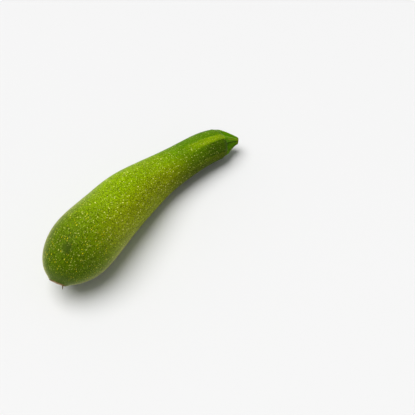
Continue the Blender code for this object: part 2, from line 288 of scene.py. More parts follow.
class Nodes:
    """Adds nodes to one tree. The values that they take and give are Fields, plain numbers or tuples."""

    def __init__(self, tree, given=()):
        """Given are the tree's named inputs, each with its socket type and its starting value or None."""
        self.tree = tree
        for name, kind, start in given:
            socket = tree.interface.new_socket(name, in_out="INPUT", socket_type="NodeSocket" + kind)
            if start is not None:
                socket.default_value = start
        self.entry = tree.nodes.new("NodeGroupInput") if given else None

    def given(self, name):
        return Field(self, self.entry.outputs[name])

    def add(self, kind, inputs=None, **settings):
        """A new node, with its settings made first and then its inputs fed, by name or by number."""
        node = self.tree.nodes.new(kind)
        for name, value in settings.items():
            setattr(node, name, value)
        for key, value in (inputs or {}).items():
            self.feed(node, key, value)
        return node

    def feed(self, node, key, value):
        if isinstance(key, int):
            socket = node.inputs[key]
        else:
            socket = next(found for found in node.inputs if found.name == key and found.enabled)
        if isinstance(value, Field):
            self.tree.links.new(value.socket, socket)
        elif socket.type == "RGBA":
            socket.default_value = (*value, 1.0)
        else:
            socket.default_value = value

    def out(self, node, name):
        return Field(self, next(found for found in node.outputs if found.name == name and found.enabled))

    def maths(self, operation, *values):
        """Arithmetic on numbers, or on vectors where any of the values is one."""
        vectors = [value for value in values if is_vector(value)]
        if not vectors:
            node = self.add("ShaderNodeMath", dict(enumerate(values)), operation=operation)
            return self.out(node, "Value")
        if operation == "MULTIPLY" and len(vectors) == 1:
            factor = next(value for value in values if not is_vector(value))
            scaled = self.add("ShaderNodeVectorMath", {0: vectors[0], "Scale": factor}, operation="SCALE")
            return self.out(scaled, "Vector")
        result = "Value" if operation in ("DISTANCE", "DOT_PRODUCT", "LENGTH") else "Vector"
        node = self.add("ShaderNodeVectorMath", dict(enumerate(values)), operation=operation)
        return self.out(node, result)

    def sine(self, value):
        return self.maths("SINE", value)

    def cosine(self, value):
        return self.maths("COSINE", value)

    def root(self, value):
        return self.maths("SQRT", value)

    def power(self, value, exponent):
        return self.maths("POWER", value, exponent)

    def larger(self, value, other):
        return self.maths("MAXIMUM", value, other)

    def smaller(self, value, other):
        return self.maths("MINIMUM", value, other)

    def vector(self, x, y, z):
        return self.out(self.add("ShaderNodeCombineXYZ", {"X": x, "Y": y, "Z": z}), "Vector")

    def split(self, vector):
        node = self.add("ShaderNodeSeparateXYZ", {0: vector})
        return [self.out(node, name) for name in "XYZ"]

    def ramp(self, value, low, high, start=0.0, end=1.0):
        """Start below low and end above high, with a smooth step between. Low may be above high."""
        inputs = {"Value": value, "From Min": low, "From Max": high, "To Min": start, "To Max": end}
        return self.out(self.add("ShaderNodeMapRange", inputs, interpolation_type="SMOOTHSTEP"), "Result")

    def noise(self, place, spacing, detail=2.0, roughness=0.5):
        """Soft random values from 0 to 1, about 0.5, that change over this spacing."""
        inputs = {"Vector": place, "Scale": 1.0 / spacing, "Detail": detail, "Roughness": roughness}
        return self.out(self.add("ShaderNodeTexNoise", inputs), "Fac")

    def blend(self, share, colour, other):
        """A colour that goes from the first to the other as share goes from 0 to 1."""
        inputs = {"Factor": share, "A": colour, "B": other}
        node = self.add("ShaderNodeMix", inputs, data_type="RGBA", clamp_factor=True)
        return self.out(node, "Result")

    def group(self, tree, **inputs):
        """A shared effect's group, placed with its own values."""
        return self.add("ShaderNodeGroup", inputs, node_tree=tree)

    def give(self, kind="Float", **results):
        """Ends the tree: makes its named outputs and links the results to them."""
        for name in results:
            self.tree.interface.new_socket(name, in_out="OUTPUT", socket_type="NodeSocket" + kind)
        end = self.tree.nodes.new("NodeGroupOutput")
        for name, value in results.items():
            self.tree.links.new(value.socket, end.inputs[name])
        return self.tree

    def dress(self, geometry):
        """Makes instances real, sets the material and ends a tree that grows a piece."""
        real = self.out(self.add("GeometryNodeRealizeInstances", {"Geometry": geometry}), "Geometry")
        inputs = {"Geometry": real, "Material": self.given("Finish")}
        coated = self.add("GeometryNodeSetMaterial", inputs)
        return self.give("Geometry", Geometry=self.out(coated, "Geometry"))


# The stations that the pieces grow around
def smooth_curve(points, start_slope=None):
    """A cubic spline through (place, value) points, natural at its ends unless a start slope is given."""
    place, value = np.array(points, float).T
    gap = np.diff(place)
    rise = np.diff(value) / gap
    last = len(place) - 1
    system = np.eye(last + 1)
    target = np.zeros(last + 1)
    if start_slope is not None:
        system[0, :2] = 2 * gap[0], gap[0]
        target[0] = 6 * (rise[0] - start_slope)
    for i in range(1, last):
        system[i, i - 1 : i + 2] = gap[i - 1], 2 * (gap[i - 1] + gap[i]), gap[i]
        target[i] = 6 * (rise[i] - rise[i - 1])
    bend = np.linalg.solve(system, target)

    def at(where):
        i = int(np.clip(np.searchsorted(place, where) - 1, 0, last - 1))
        after = (where - place[i]) / gap[i]
        before = 1 - after
        straight = before * value[i] + after * value[i + 1]
        bowed = ((before**3 - before) * bend[i] + (after**3 - after) * bend[i + 1]) * gap[i] ** 2 / 6
        return float(straight + bowed)

    return at


flank_radius = smooth_curve(FLANK, start_slope=0.0)
heading = smooth_curve(HEADINGS)


def fruit_radius(along):
    """The fruit's plain radius, before its ribs: a blunt dome to the belly, then the flank to the neck."""
    if along >= BELLY_PLACE:
        return flank_radius(along)
    seat = (1 - (SCAR_RADIUS / BELLY_RADIUS) ** BELLY_FULLNESS) ** (1 / BELLY_FULLNESS)
    reach = seat * (BELLY_PLACE - along) / BELLY_PLACE
    return BELLY_RADIUS * (1 - reach**BELLY_FULLNESS) ** (1 / BELLY_FULLNESS)


def axis_height(along):
    """The axis's height, from an underside that curves up gently from where the fruit rests."""
    droop = BLOSSOM_DROOP * max(0.0, 1 - along / BELLY_PLACE) ** 3
    past = max(0.0, along - SHOULDER_DROOP_PLACE) / (FRUIT_LENGTH - SHOULDER_DROOP_PLACE)
    rise = PRESSED_DEPTH * ((along - REST_PLACE) / REST_HALF_LENGTH) ** 2 - SHOULDER_DROOP * past**2
    resting = BELLY_RADIUS if along < BELLY_PLACE else flank_radius(along)
    return resting - PRESSED_DEPTH + rise - droop


def axis_points():
    """Evenly spaced points of the axis, from the blossom end to the shoulder."""
    x = y = 0.0
    points = [Vector((x, y, axis_height(0.0)))]
    for i in range(round(FRUIT_LENGTH / AXIS_STEP)):
        turn = math.radians(heading((i + 0.5) * AXIS_STEP))
        x += AXIS_STEP * math.cos(turn)
        y += AXIS_STEP * math.sin(turn)
        points.append(Vector((x, y, axis_height((i + 1) * AXIS_STEP))))
    return points


AXIS = axis_points()


def axis_frame(along):
    """Where the axis is at this distance, its direction, the top of its section and the -Y side of it."""
    place = along / AXIS_STEP
    i = min(int(place), len(AXIS) - 2)
    centre = AXIS[i].lerp(AXIS[i + 1], place - i)
    direction = (AXIS[min(i + 3, len(AXIS) - 1)] - AXIS[max(i - 2, 0)]).normalized()
    side = direction.cross(Vector((0, 0, 1))).normalized()
    return centre, direction, side.cross(direction), side


def station(centre, direction, top, along, radius, reach=1.0, **more):
    """One ring of a piece. Its reach shrinks the ring, and is nothing where a cap closes to a point."""
    place = {"centre": centre, "direction": direction, "top": top}
    return {**place, "along": along, "radius": radius, "reach": max(reach, NO_LENGTH), **more}


def fruit_stations():
    shoulder = FRUIT_LENGTH - SHOULDER_HEIGHT
    cap = [i / CAP_RINGS for i in range(CAP_RINGS)]
    places = [(0.0, reach) for reach in cap]
    places += [(BELLY_PLACE * (1 - math.cos(math.pi / 2 * i / DOME_RINGS)), 1.0) for i in range(DOME_RINGS)]
    places += [(BELLY_PLACE + (shoulder - BELLY_PLACE) * i / FLANK_RINGS, 1.0) for i in range(FLANK_RINGS)]
    turns = [math.pi / 2 * i / SHOULDER_RINGS for i in range(SHOULDER_RINGS + 1)]
    places += [(shoulder + SHOULDER_HEIGHT * math.sin(turn), 1.0) for turn in turns]
    places += [(FRUIT_LENGTH, reach) for reach in reversed(cap)]
    stations = []
    over = 0.0
    for along, reach in places:
        centre, direction, top, _ = axis_frame(along)
        radius = fruit_radius(along)
        if reach == 1.0:
            centre = centre - direction * (COLLAR_HEIGHT * max(0.0, 1 - along / COLLAR_WIDTH) ** 2)
        if stations:
            last = stations[-1]
            over += math.hypot(along - last["along"], radius * reach - last["radius"] * last["reach"])
        stations.append(station(centre, direction, top, along, radius, reach, over=over))
    return stations


def stem_stations():
    """Rings up the stem, bent sideways and leaning into the slanted cut, then in over the dished cut."""
    base, direction, top, side = axis_frame(FRUIT_LENGTH)
    base = base + direction * JOIN_GAP
    rings = [(-STEM_ROOT, reach, 0.0, 0.0) for reach in (0.0, 0.5, 1.0)]
    rings += [(STEM_LENGTH * (i / STEM_RINGS), 1.0, 0.0, 0.0) for i in range(STEM_RINGS)]
    rim = STEM_RIM_ROUNDING / STEM_TIP_RADIUS
    for i in range(STEM_RIM_RINGS + 1):
        turn = math.pi / 2 * i / STEM_RIM_RINGS
        up = STEM_LENGTH - STEM_RIM_ROUNDING * (1 - math.sin(turn))
        rings.append((up, 1 - rim * (1 - math.cos(turn)), 0.0, 0.1 * i))
    for i in range(1, STEM_CUT_RINGS + 1):
        inward = i / STEM_CUT_RINGS
        sink = STEM_CUT_DISH * math.sin(inward * math.pi / 2)
        rings.append((STEM_LENGTH, (1 - rim) * (1 - inward), sink, 1.0))
    stations = []
    for up, reach, sink, cut in rings:
        share = max(up, 0.0) / STEM_LENGTH
        bend = STEM_BEND * share
        lean = bend + STEM_CUT_TILT * share**3
        centre = base + side * (math.sin(bend / 2) * up) + direction * (math.cos(bend / 2) * up - sink)
        facing = side * math.sin(lean) + direction * math.cos(lean)
        radius = STEM_BASE_RADIUS + (STEM_TIP_RADIUS - STEM_BASE_RADIUS) * share
        groove = STEM_GROOVE_BASE + (STEM_GROOVE_TIP - STEM_GROOVE_BASE) * share
        stations.append(station(centre, facing, top, up, radius, reach, groove=groove, cut=cut))
    return stations


def scar_stations():
    """Rings of the scar, from the middle of its sunk back, out round its rim and in to the style stub."""
    centre, direction, top, _ = axis_frame(0.0)
    centre = centre - direction * JOIN_GAP
    full = SCAR_HEIGHT + SCAR_RIM_HEIGHT
    style = STYLE_RADIUS / SCAR_RADIUS
    # Each point of the profile is a share of the scar's radius, a height and the rings from it to the next.
    profile = (
        (0.0, -SCAR_ROOT, 1),
        (0.97, -SCAR_ROOT, 1),
        (1.0, 0.0, 3),
        (1.00, SCAR_HEIGHT * 0.75, 4),
        (0.95, full * 0.95, 3),
        (0.88, full, 4),
        (0.80, full * 0.92, 4),
        (0.70, SCAR_HEIGHT, 12),
        (0.45, SCAR_HEIGHT * 0.92, 10),
        (style * 1.15, SCAR_HEIGHT, 3),
        (style, SCAR_HEIGHT + STYLE_HEIGHT * 0.8, 2),
        (style * 0.6, SCAR_HEIGHT + STYLE_HEIGHT, 3),
        (0.0, SCAR_HEIGHT + STYLE_HEIGHT * 0.7, 1),
    )
    stations = []
    for (share, height, count), (next_share, next_height, _) in zip(profile, profile[1:] + profile[-1:]):
        for i in range(count):
            between = i / count
            at = share + (next_share - share) * between
            lift = height + (next_height - height) * between
            stations.append(station(centre - direction * lift, -direction, top, at, SCAR_RADIUS, at))
    return stations


def wisp_stations():
    """The curled spike of dried blossom, thick at its foot, which stands in the scar's rim."""
    centre, direction, top, side = axis_frame(0.0)
    outward = top * math.cos(WISP_TURN) - side * math.sin(WISP_TURN)
    stations = []
    for i in range(WISP_RINGS + 1):
        share = i / WISP_RINGS
        reach = SCAR_RADIUS * WISP_PLACE + WISP_LENGTH * WISP_CURL * share**2
        lift = JOIN_GAP + SCAR_HEIGHT * WISP_ROOT + WISP_LENGTH * share
        facing = (outward * (2 * WISP_CURL * share) - direction).normalized()
        across = facing.cross(outward).normalized()
        radius = WISP_RADIUS * (1 - (1 - WISP_TIP) * share)
        point = centre + outward * reach - direction * lift
        stations.append(station(point, facing, across, share, radius, 0.0 if i in (0, WISP_RINGS) else 1.0))
    return stations


def spine(name, stations):
    """The stations as a chain of points that carry their values as attributes."""
    mesh = bpy.data.meshes.new(name)
    mesh.from_pydata([found["centre"] for found in stations], [], [])
    for key, value in stations[0].items():
        if key == "centre":
            continue
        if isinstance(value, Vector):
            flat = [number for found in stations for number in found[key]]
            mesh.attributes.new(key, "FLOAT_VECTOR", "POINT").data.foreach_set("vector", flat)
        else:
            flat = [found[key] for found in stations]
            mesh.attributes.new(key, "FLOAT", "POINT").data.foreach_set("value", flat)
    return mesh


# Growing a piece around its spine
class Sweep(Nodes):
    """A Geometry Nodes tree that wraps a grid around a spine, one row for each station."""

    def __init__(self, name, sizes):
        """Sizes are the piece's own named inputs, each with its value to start with."""
        always = (
            ("Spine", "Geometry", None),
            ("Rings", "Int", None),
            ("Sides", "Int", None),
            ("Finish", "Material", None),
        )
        own = tuple((size, "Float", start) for size, start in sizes.items())
        super().__init__(bpy.data.node_groups.new(name, "GeometryNodeTree"), always + own)
        columns = self.given("Sides") + 1.0
        inputs = {"Size X": 1.0, "Size Y": 1.0, "Vertices X": columns, "Vertices Y": self.given("Rings")}
        self.grid = self.out(self.add("GeometryNodeMeshGrid", inputs), "Mesh")
        position = self.out(self.add("GeometryNodeInputPosition"), "Position")
        across, up, _ = self.split(position)
        self.angle = (across + 0.5) * (2 * math.pi)
        self.row = self.maths("ROUND", (up + 0.5) * (self.given("Rings") - 1.0))
        self.centre = self.station_value(position, "FLOAT_VECTOR")
        self.direction = self.named("direction", "FLOAT_VECTOR")
        self.top = self.named("top", "FLOAT_VECTOR")
        self.side = self.maths("CROSS_PRODUCT", self.direction, self.top)
        self.along = self.named("along")
        self.radius = self.named("radius")
        self.reach = self.named("reach")

    def station_value(self, value, kind):
        """What a value on the spine is at this row's station."""
        inputs = {"Geometry": self.given("Spine"), "Value": value, "Index": self.row}
        node = self.add("GeometryNodeSampleIndex", inputs, data_type=kind, domain="POINT")
        return self.out(node, "Value")

    def named(self, name, kind="FLOAT"):
        node = self.add("GeometryNodeInputNamedAttribute", {"Name": name}, data_type=kind)
        return self.station_value(self.out(node, "Attribute"), kind)

    def on_tube(self, angle, radius, height):
        """A point of a straight tube round Z, where patterns are looked up."""
        return self.vector(radius * self.cosine(angle), radius * self.sine(angle), height)

    def wrap(self, angle, radius, lift=0.0, floor=False):
        """Sets the grid on the rings, at this radius and turn from the top, lifted along the direction."""
        outward = self.top * self.cosine(angle) + self.side * self.sine(angle)
        place = self.centre + outward * (radius * self.reach) + self.direction * lift
        if floor:
            x, y, z = self.split(place)
            place = self.vector(x, y, self.larger(z, 0.0))
        self.wrapped = place

    def store(self, **values):
        """Keeps values on the points of the grid, for the material to read."""
        for name, value in values.items():
            kind = "FLOAT_VECTOR" if is_vector(value) else "FLOAT"
            inputs = {"Geometry": self.grid, "Name": name, "Value": value}
            node = self.add("GeometryNodeStoreNamedAttribute", inputs, data_type=kind, domain="POINT")
            self.grid = self.out(node, "Geometry")

    def close(self):
        """Moves the grid to its wrapped place, welds its seam and its caps, and ends the tree."""
        moved = self.add("GeometryNodeSetPosition", {"Geometry": self.grid, "Position": self.wrapped})
        inputs = {"Geometry": self.out(moved, "Geometry"), "Distance": WELD_LENGTH}
        welded = self.out(self.add("GeometryNodeMergeByDistance", inputs), "Geometry")
        smooth = self.add("GeometryNodeSetShadeSmooth", {"Geometry": welded})
        return self.dress(self.out(smooth, "Geometry"))


def ridge_height(nodes, angle, sharpness):
    """1 on a ridge's crest, 0 in the groove between two."""
    wave = nodes.cosine((angle - RIDGE_TURN) * RIDGES)
    return nodes.power(wave * 0.5 + 0.5, sharpness)


def band_marks(sweep, angle, share, pits):
    """Pale bands along the ribs, and facets with a sharp edge between them, clearest near the shoulder. The
    edge mask is where painted crease shade goes.
    """
    off_band = sweep.maths("ABSOLUTE", sweep.sine((angle - BAND_TURN) * (RIDGES / 2)))
    off_band = off_band - (1.0 - share) * BAND_TAPER + pits * BAND_WOBBLE
    band = sweep.ramp(off_band, 0.54, 0.22) * sweep.ramp(share, 0.74, 0.87)
    facet = sweep.ramp(off_band, 0.46, 0.58)
    facet = facet * (sweep.ramp(share, 0.66, 0.92) + sweep.ramp(share, 0.85, 0.91)) * 0.5
    edge = sweep.ramp(off_band, 0.44, 0.51) * sweep.ramp(off_band, 0.70, 0.51)
    return band, facet, edge * sweep.ramp(share, 0.87, 0.92)


def skin_relief(sweep, angle, share, place, pits, facet):
    """How far the skin stands out: its swells, pits and flutes, less its facets, its dent and its waist."""
    swell = sweep.noise(place, SWELL_SPACING, detail=1.0) - 0.5
    flutes = sweep.cosine((angle - RIDGE_TURN) * FLUTE_COUNT) * sweep.ramp(share, 0.15, 0.6)
    relief = sweep.given("Swell height") * swell + sweep.given("Pitting height") * pits
    relief = relief + sweep.given("Flute height") * flutes - sweep.given("Facet depth") * facet
    dent = sweep.ramp(sweep.maths("DISTANCE", place, dent_place()), DENT_RADIUS, 0.0)
    relief = relief - sweep.given("Dent depth") * dent
    waist = sweep.ramp(sweep.cosine(angle - WAIST_TURN), -0.1, 0.9)
    waist = waist * sweep.ramp(share, 0.60, 0.80) * sweep.ramp(share, 0.94, 0.82)
    return relief - sweep.given("Waist depth") * waist


def skin_tree():
    """The fruit's skin, with its ribs, its shoulder and the feet of the stem.

    It keeps where each mark lies for the material to read.
    """
    sizes = {
        "Rib height": RIB_HEIGHT,
        "Swell height": SWELL_HEIGHT,
        "Pitting height": PITTING_HEIGHT,
        "Flute height": FLUTE_HEIGHT,
        "Facet depth": FACET_DEPTH,
        "Dent depth": DENT_DEPTH,
        "Waist depth": WAIST_DEPTH,
        "Foot height": FOOT_HEIGHT,
        "Foot length": FOOT_LENGTH,
    }
    sweep = Sweep("skin_growth", sizes)
    angle = sweep.angle + RIDGE_TURN
    share = sweep.along / FRUIT_LENGTH

    half_turn = sweep.sine((angle - RIDGE_TURN) * (RIDGES / 2))
    swelling = 2 / math.pi - sweep.root(half_turn * half_turn + RIB_SOFTNESS**2)
    neck = sweep.power(share, RIB_FADE)
    radius = sweep.radius * (1.0 + sweep.given("Rib height") * neck * swelling)

    inland = sweep.root(sweep.larger(sweep.sine(share * math.pi), 0.0))
    for waves_along, waves_around, phase, height in UNEVENNESS:
        wave = sweep.sine(share * (2 * math.pi * waves_along) + phase)
        radius = radius + inland * height * wave * sweep.cosine(angle * waves_around - phase)

    around = sweep.radius * 0.5 + BELLY_RADIUS / 2
    place = sweep.on_tube(angle, around, sweep.named("over"))
    pits = sweep.noise(place, PITTING_SPACING) - 0.5
    band, facet, edge = band_marks(sweep, angle, share, pits)
    radius = radius + skin_relief(sweep, angle, share, place, pits, facet) * inland

    # The shoulder rounds in between the ribs, and the ribs flow on into the stem's ridges
    into = (sweep.along - (FRUIT_LENGTH - SHOULDER_HEIGHT)) / SHOULDER_HEIGHT
    into = sweep.smaller(sweep.larger(into, 0.0), 1.0)
    flowing = ridge_height(sweep, angle, STEM_RIDGE_SHARPNESS)
    end = STEM_BASE_RADIUS * (1.0 - STEM_GROOVE_BASE * (1.0 - flowing))
    rounded = sweep.root(sweep.larger(1.0 - into * into, 0.0))
    kept = flowing * (1.0 - into) + (1.0 - flowing) * rounded
    radius = end + (radius - end) * kept

    foot_reach = sweep.given("Foot length") * (0.12 + 0.88 * ridge_height(sweep, angle, 2.4))
    ragged = sweep.noise(place, FOOT_RAG_SPACING) - 0.5
    to_end = FRUIT_LENGTH - sweep.along + ragged * FOOT_RAGGEDNESS
    foot = sweep.ramp(to_end, foot_reach, foot_reach * 0.55)
    radius = radius + sweep.given("Foot height") * foot * sweep.ramp(into, 1.0, 0.75)

    # The way in over the shoulder counts as length too, so the marks on it aren't stretched
    sweep.wrap(angle, radius, floor=True)
    inward = sweep.larger(sweep.radius - radius, 0.0) * sweep.ramp(into, 0.0, 0.3)
    sweep.store(place=place + sweep.vector(0.0, 0.0, inward), around=sweep.on_tube(angle, 1.0, 0.0))
    # The edge mask is where painted crease shade goes along each facet.
    sweep.store(share=share, band=band, facet=facet, edge=edge, foot=foot)
    # The seam mask is where painted shade goes round the stem's root.
    sweep.store(seam=sweep.ramp(into, 0.80, 0.97) * (1.0 - flowing * 0.6))
    return sweep.close()


def dent_place():
    """The dent's centre in the skin's own straightened coordinates."""
    steps = 200
    radii = [fruit_radius(DENT_PLACE * i / steps) for i in range(steps + 1)]
    over = radii[0]
    for radius, next_radius in zip(radii, radii[1:]):
        over += math.hypot(DENT_PLACE / steps, next_radius - radius)
    around = radii[-1] * 0.5 + BELLY_RADIUS / 2
    return (around * math.cos(DENT_TURN), around * math.sin(DENT_TURN), over)


def stem_tree():
    """The stem: ridges that soften towards the cut, a fibrous surface and an uneven cut face."""
    sizes = {"Fibre height": STEM_FIBRE_HEIGHT, "Cut roughness": STEM_CUT_ROUGHNESS}
    sweep = Sweep("stem_growth", sizes)
    angle = sweep.angle + RIDGE_TURN
    groove = sweep.named("groove")
    cut = sweep.named("cut")
    crest = ridge_height(sweep, angle, STEM_RIDGE_SHARPNESS)
    radius = sweep.radius * (1.0 - groove * (1.0 - crest))
    girth = STEM_BASE_RADIUS * 0.7
    place = sweep.on_tube(angle, girth, sweep.along)
    squeezed = sweep.on_tube(angle, girth, sweep.along * STEM_FIBRE_SQUEEZE)
    fibres = sweep.noise(squeezed, STEM_FIBRE_SPACING) - 0.5
    knots = sweep.noise(place, STEM_KNOT_SPACING, detail=1.0) - 0.5
    grown = sweep.ramp(sweep.along, 0.0, 0.0012)
    radius = radius + sweep.given("Fibre height") * (fibres * 2.0 + knots) * grown
    face = sweep.on_tube(angle, sweep.reach, 0.0)
    lift = (sweep.noise(face, 0.16) - 0.5) * sweep.given("Cut roughness") * cut
    sweep.wrap(angle, radius, lift)
    # The fold mask is where painted shade goes, under each ridge.
    fold = sweep.cosine((angle - RIDGE_TURN) * RIDGES - FOLD_TURN)
    sweep.store(place=place, face=face, crest=crest, fold=sweep.ramp(fold, 0.84, 0.99))
    sweep.store(cut=cut, up=sweep.along / STEM_LENGTH)
    return sweep.close()


def scar_tree():
    """The corky scar: lobed, with radial fibres and a ragged rim."""
    sweep = Sweep("scar_growth", {"Fibre height": SCAR_FIBRE_HEIGHT, "Lobe depth": SCAR_LOBE_DEPTH})
    angle = sweep.angle
    share = sweep.along
    lobes = 0.5 - 0.5 * sweep.cosine(angle * SCAR_LOBES)
    around = sweep.on_tube(angle, 1.0, share * 0.35)
    spokes = sweep.noise(around, SCAR_FIBRE_SPACING) - 0.5
    crumbs = sweep.noise(sweep.on_tube(angle, share, 0.0), SCAR_CRUMB_SPACING) - 0.5
    shape = 1.0 - sweep.given("Lobe depth") * share * share * share * lobes
    radius = sweep.radius * (shape + spokes * 0.05 * sweep.ramp(share, 0.8, 1.0))
    lift = sweep.given("Fibre height") * (spokes * 1.6 + crumbs) * sweep.ramp(share, 0.0, 0.2)
    sweep.wrap(angle, radius, lift)
    sweep.store(spoke=around, share=share)
    return sweep.close()


def wisp_tree():
    """The dried wisp, wrinkled along its length."""
    sweep = Sweep("wisp_growth", {"Wrinkle depth": WISP_WRINKLE_DEPTH})
    wrinkles = 1.0 - sweep.given("Wrinkle depth") * (0.5 + 0.5 * sweep.cosine(sweep.angle * WISP_WRINKLES))
    sweep.wrap(sweep.angle, sweep.radius * wrinkles)
    sweep.store(spoke=sweep.on_tube(sweep.angle, 1.0, sweep.along), share=1.0 + sweep.along * 0.3)
    return sweep.close()


def grow(name, tree, start, finish, **settings):
    """Runs a tree on a start mesh and keeps what it makes as a plain mesh object at the origin.

    The settings are values for the tree's named inputs. The others stay as the tree has them.
    """
    piece = bpy.data.objects.new(name, start)
    bpy.context.scene.collection.objects.link(piece)
    modifier = piece.modifiers.new("growth", "NODES")
    modifier.node_group = tree
    values = {"Finish": finish, **settings}
    for item in tree.interface.items_tree:
        if item.in_out == "INPUT" and item.name in values:
            modifier[item.identifier] = values[item.name]
    bpy.context.view_layer.update()
    depsgraph = bpy.context.evaluated_depsgraph_get()
    made = bpy.data.meshes.new_from_object(piece.evaluated_get(depsgraph), depsgraph=depsgraph)
    piece.modifiers.remove(modifier)
    piece.data = made
    made.name = name
    return piece


def bristle_tree():
    """Small tapered bristles stood at random on a surface, leaning a little every way."""
    given = (
        ("Surface", "Geometry", None),
        ("Finish", "Material", None),
        ("Density", "Float", BRISTLES_PER_AREA),
        ("Length", "Float", BRISTLE_LENGTH),
        ("Radius", "Float", BRISTLE_RADIUS),
        ("Lean", "Float", BRISTLE_LEAN),
        ("Seed", "Int", BRISTLE_SEED),
    )
    nodes = Nodes(bpy.data.node_groups.new("bristle_growth", "GeometryNodeTree"), given)
    radius = nodes.given("Radius")
    lean = nodes.given("Lean")
    seed = nodes.given("Seed")
    inputs = {"Mesh": nodes.given("Surface"), "Density": nodes.given("Density"), "Seed": seed}
    scattered = nodes.add("GeometryNodeDistributePointsOnFaces", inputs)
    inputs = {"Vertices": BRISTLE_SIDES, "Side Segments": 2, "Depth": nodes.given("Length")}
    inputs = {**inputs, "Radius Top": radius * BRISTLE_TIP, "Radius Bottom": radius}
    cone = nodes.add("GeometryNodeMeshCone", inputs, fill_type="NGON")
    turned = nodes.add("FunctionNodeRandomValue", {"Seed": seed}, data_type="FLOAT_VECTOR")
    nodes.feed(turned, "Min", nodes.vector(lean * -1.0, lean * -1.0, -BRISTLE_SPIN))
    nodes.feed(turned, "Max", nodes.vector(lean, lean, BRISTLE_SPIN))
    tilt = nodes.add("FunctionNodeEulerToRotation", {"Euler": nodes.out(turned, "Value")})
    inputs = {"Rotation": nodes.out(scattered, "Rotation"), "Rotate By": nodes.out(tilt, "Rotation")}
    upright = nodes.add("FunctionNodeRotateRotation", inputs, rotation_space="LOCAL")
    least, most = BRISTLE_LENGTHS
    size = nodes.add("FunctionNodeRandomValue", {"Min": least, "Max": most}, data_type="FLOAT")
    inputs = {
        "Points": nodes.out(scattered, "Points"),
        "Instance": nodes.out(cone, "Mesh"),
        "Rotation": nodes.out(upright, "Rotation"),
        "Scale": nodes.vector(1.0, 1.0, nodes.out(size, "Value")),
    }
    placed = nodes.add("GeometryNodeInstanceOnPoints", inputs)
    return nodes.dress(nodes.out(placed, "Instances"))


# Effects that the materials share
def drawn_out(nodes, size):
    """The place to look up a pattern at, drawn out along Z by the stretch and scaled to this size of it."""
    x, y, z = nodes.split(nodes.given("Place"))
    return nodes.vector(x, y, z / nodes.given("Stretch")) * (1.0 / nodes.given(size))


def effect(name, *numbers):
    """A group that looks a pattern up at a place, with these numbers as its other named inputs."""
    given = [("Place", "Vector", None)] + [(number, "Float", None) for number in numbers]
    return Nodes(bpy.data.node_groups.new(name, "ShaderNodeTree"), given)


def fleck_group():
    """Small spots of uneven size, one in most cells of a random pattern."""
    nodes = effect("flecks", "Spacing", "Size", "Stretch", "Unevenness")
    pulled = drawn_out(nodes, "Spacing")
    wobble = nodes.add("ShaderNodeTexNoise", {"Vector": pulled, "Scale": 3.0, "Detail": 1.0})
    pulled = pulled + (nodes.out(wobble, "Color") - (0.5, 0.5, 0.5)) * 0.12
    cells = nodes.add("ShaderNodeTexVoronoi", {"Vector": pulled, "Scale": 1.0, "Randomness": 1.0})
    chance, kind, _ = nodes.split(nodes.out(cells, "Color"))
    size = nodes.given("Size") * (1.0 - nodes.given("Unevenness") * chance)
    return nodes.give(Mask=nodes.ramp(nodes.out(cells, "Distance"), size, size * 0.6), Kind=kind)


def streak_group():
    """Soft fibres or streaks that run along Z, from -1 to 1 about 0."""
    nodes = effect("streaks", "Width", "Stretch")
    return nodes.give(Streak=(nodes.noise(drawn_out(nodes, "Width"), 1.0, detail=3.0) - 0.5) * 3.0)


def mottle_group():
    """Cloudy lighter and darker tissue, from -1 to 1 about 0."""
    nodes = effect("mottle", "Spacing", "Stretch")
    return nodes.give(Cloud=(nodes.noise(drawn_out(nodes, "Spacing"), 1.0, roughness=0.6) - 0.5) * 3.2)


flecks = fleck_group()
streaks = streak_group()
mottle = mottle_group()


# Materials
class Finish(Nodes):
    """A material with one Principled BSDF. Its plain values go straight on the shader's own sockets."""

    def __init__(self, name, **plain):
        self.material = bpy.data.materials.new(name)
        self.material.use_nodes = True
        super().__init__(self.material.node_tree)
        self.shader = self.tree.nodes["Principled BSDF"]
        for key, value in plain.items():
            self.shader.inputs[key.replace("_", " ")].default_value = value

    def read(self, name, output="Vector"):
        node = self.add("ShaderNodeAttribute", attribute_name=name, attribute_type="GEOMETRY")
        return self.out(node, output)

    def number(self, name):
        return self.read(name, "Fac")

    def flecks(self, place, spacing, size, stretch, unevenness):
        """Where the flecks are, and a random number for each."""
        inputs = {"Place": place, "Spacing": spacing, "Size": size, "Stretch": stretch}
        node = self.group(flecks, Unevenness=unevenness, **inputs)
        return self.out(node, "Mask"), self.out(node, "Kind")

    def streaks(self, place, width, stretch):
        return self.out(self.group(streaks, Place=place, Width=width, Stretch=stretch), "Streak")

    def mottle(self, place, spacing, stretch=1.0):
        return self.out(self.group(mottle, Place=place, Spacing=spacing, Stretch=stretch), "Cloud")

    def paint(self, amount, tone):
        """Lays a tone over the colour so far, from not at all at 0 to wholly at 1."""
        self.colour = self.blend(amount, self.colour, tone)

    def shade(self, colour, amount):
        """The colour made lighter or darker: amount is a share, above or below 0."""
        return colour * self.larger(1.0 + amount, 0.0)

    def bump(self, height, distance):
        node = self.add("ShaderNodeBump", {"Height": height, "Distance": distance, "Strength": 1.0})
        return self.out(node, "Normal")

    def use(self, **results):
        for key, value in results.items():
            self.tree.links.new(value.socket, self.shader.inputs[key.replace("_", " ")])
        return self.material


